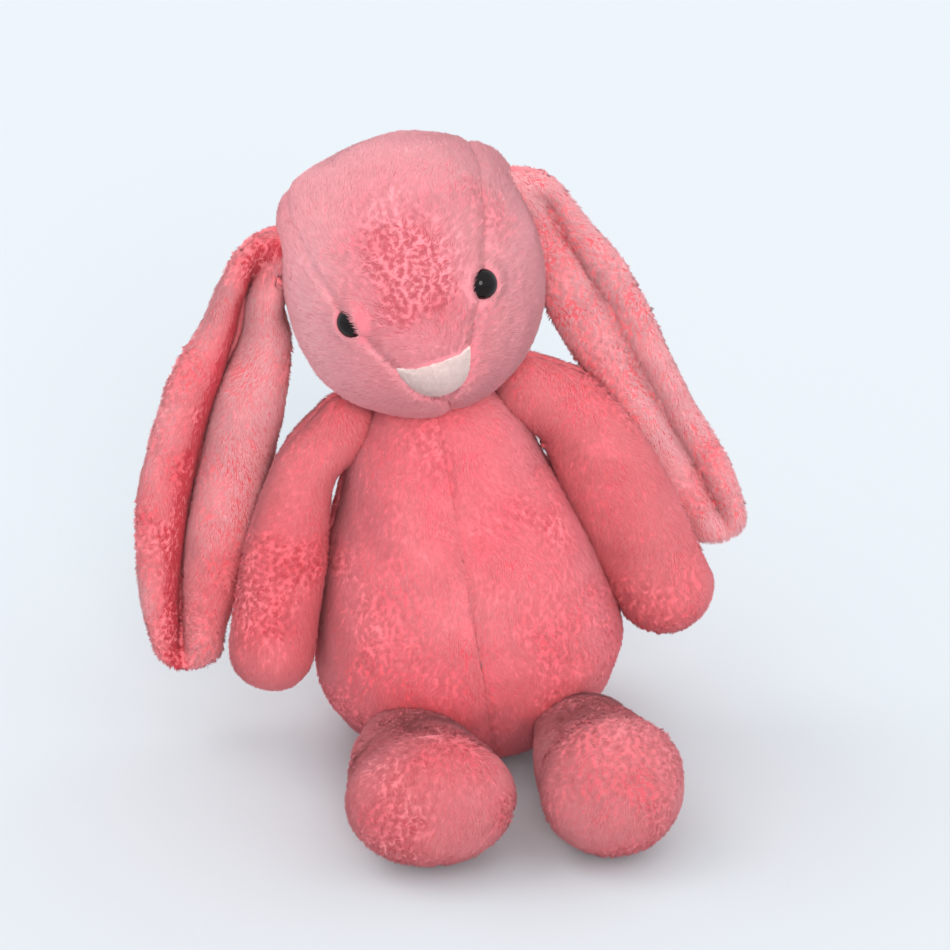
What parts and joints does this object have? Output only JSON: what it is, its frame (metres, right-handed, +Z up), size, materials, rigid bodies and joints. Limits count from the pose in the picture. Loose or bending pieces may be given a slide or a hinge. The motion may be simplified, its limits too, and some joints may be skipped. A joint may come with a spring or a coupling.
{
  "type": "plush rabbit",
  "caption": "Seated plush rabbit toy with long lop ears, soft pile fur, dome eyes, a short-pile nose patch and floppy sewn-on limbs.",
  "frame": {"origin": "middle of the flat seat panel, on the surface the rabbit sits on", "axes": "+Z up; -Y is the way the rabbit faces, its legs forward; +X is the rabbit's own left side"},
  "size_m": [0.238, 0.2061, 0.2411],
  "materials": {
    "fur_body": "short plush pile, coral pink",
    "fur_ear": "short plush pile, coral pink",
    "fur_head": "short plush pile, light pink",
    "nose_velour": "short-pile velour, cream",
    "stuffing": "white polyester fibre filling",
    "pellet_pouch": "woven pouch of plastic pellets",
    "eye_gloss": "glossy dark safety eye",
    "eye_washer": "white moulded locking washer"
  },
  "bodies": {
    "torso": {"body_back_left": "fur_body", "body_back_right": "fur_body", "body_front_left": "fur_body", "body_front_right": "fur_body", "body_stuffing": "stuffing", "seat_panel": "fur_body", "seat_pouch": "pellet_pouch"},
    "neck": {"neck_cover": "fur_body", "neck_stuffing": "stuffing"},
    "head": {"head_gusset": "fur_head", "head_left_cheek": "fur_head", "head_right_cheek": "fur_head", "head_stuffing": "stuffing", "left_eye": "eye_gloss", "left_eye_washer": "eye_washer", "nose_patch": "nose_velour", "right_eye": "eye_gloss", "right_eye_washer": "eye_washer"},
    "left_ear": {"left_ear_back": "fur_ear", "left_ear_front": "fur_ear"},
    "right_ear": {"right_ear_back": "fur_ear", "right_ear_front": "fur_ear"},
    "left_arm": {"left_arm_back": "fur_body", "left_arm_front": "fur_body", "left_arm_stuffing": "stuffing"},
    "right_arm": {"right_arm_back": "fur_body", "right_arm_front": "fur_body", "right_arm_stuffing": "stuffing"},
    "left_leg": {"left_foot_pouch": "pellet_pouch", "left_leg_stuffing": "stuffing", "left_leg_top": "fur_body", "left_leg_underside": "fur_body", "left_sole": "fur_body"},
    "right_leg": {"right_foot_pouch": "pellet_pouch", "right_leg_stuffing": "stuffing", "right_leg_top": "fur_body", "right_leg_underside": "fur_body", "right_sole": "fur_body"},
    "tail": {"tail_cover": "fur_body", "tail_stuffing": "stuffing"}
  },
  "joints": [
    {"name": "neck_turn", "type": "hinge", "parent": "torso", "child": "neck", "pos_m": [-0.02032, -0.003, 0.14458], "axis": [-0.1392, 0, 0.9903], "range_deg": [-25, 25], "stiffness_Nm_per_rad": 0.3},
    {"name": "head_nod", "type": "hinge", "parent": "neck", "child": "head", "pos_m": [-0.02032, -0.003, 0.14458], "axis": [0.9903, 0, 0.1392], "range_deg": [-20, 8], "stiffness_Nm_per_rad": 0.8},
    {"name": "left_ear_lift", "type": "hinge", "parent": "head", "child": "left_ear", "pos_m": [0.0063, -0.006, 0.22103], "axis": [0, -1, 0], "range_deg": [0, 75]},
    {"name": "right_ear_lift", "type": "hinge", "parent": "head", "child": "right_ear", "pos_m": [-0.06969, -0.006, 0.20126], "axis": [0, 1, 0], "range_deg": [0, 75]},
    {"name": "left_shoulder", "type": "hinge", "parent": "torso", "child": "left_arm", "pos_m": [0.01446, -0.002, 0.14139], "axis": [-0.9903, 0, -0.1392], "range_deg": [-20, 100], "stiffness_Nm_per_rad": 0.03},
    {"name": "right_shoulder", "type": "hinge", "parent": "torso", "child": "right_arm", "pos_m": [-0.05189, -0.003, 0.13206], "axis": [-0.9903, 0, -0.1392], "range_deg": [-20, 100], "stiffness_Nm_per_rad": 0.03},
    {"name": "left_hip", "type": "hinge", "parent": "torso", "child": "left_leg", "pos_m": [0.031, -0.057, 0.022], "axis": [-1, 0, 0], "range_deg": [-50, 15]},
    {"name": "right_hip", "type": "hinge", "parent": "torso", "child": "right_leg", "pos_m": [-0.031, -0.057, 0.022], "axis": [-1, 0, 0], "range_deg": [-50, 15]},
    {"name": "tail_flex", "type": "hinge", "parent": "torso", "child": "tail", "pos_m": [-0.00501, 0.052, 0.03565], "axis": [1, 0, 0], "range_deg": [-15, 15], "stiffness_Nm_per_rad": 0.02}
  ]
}
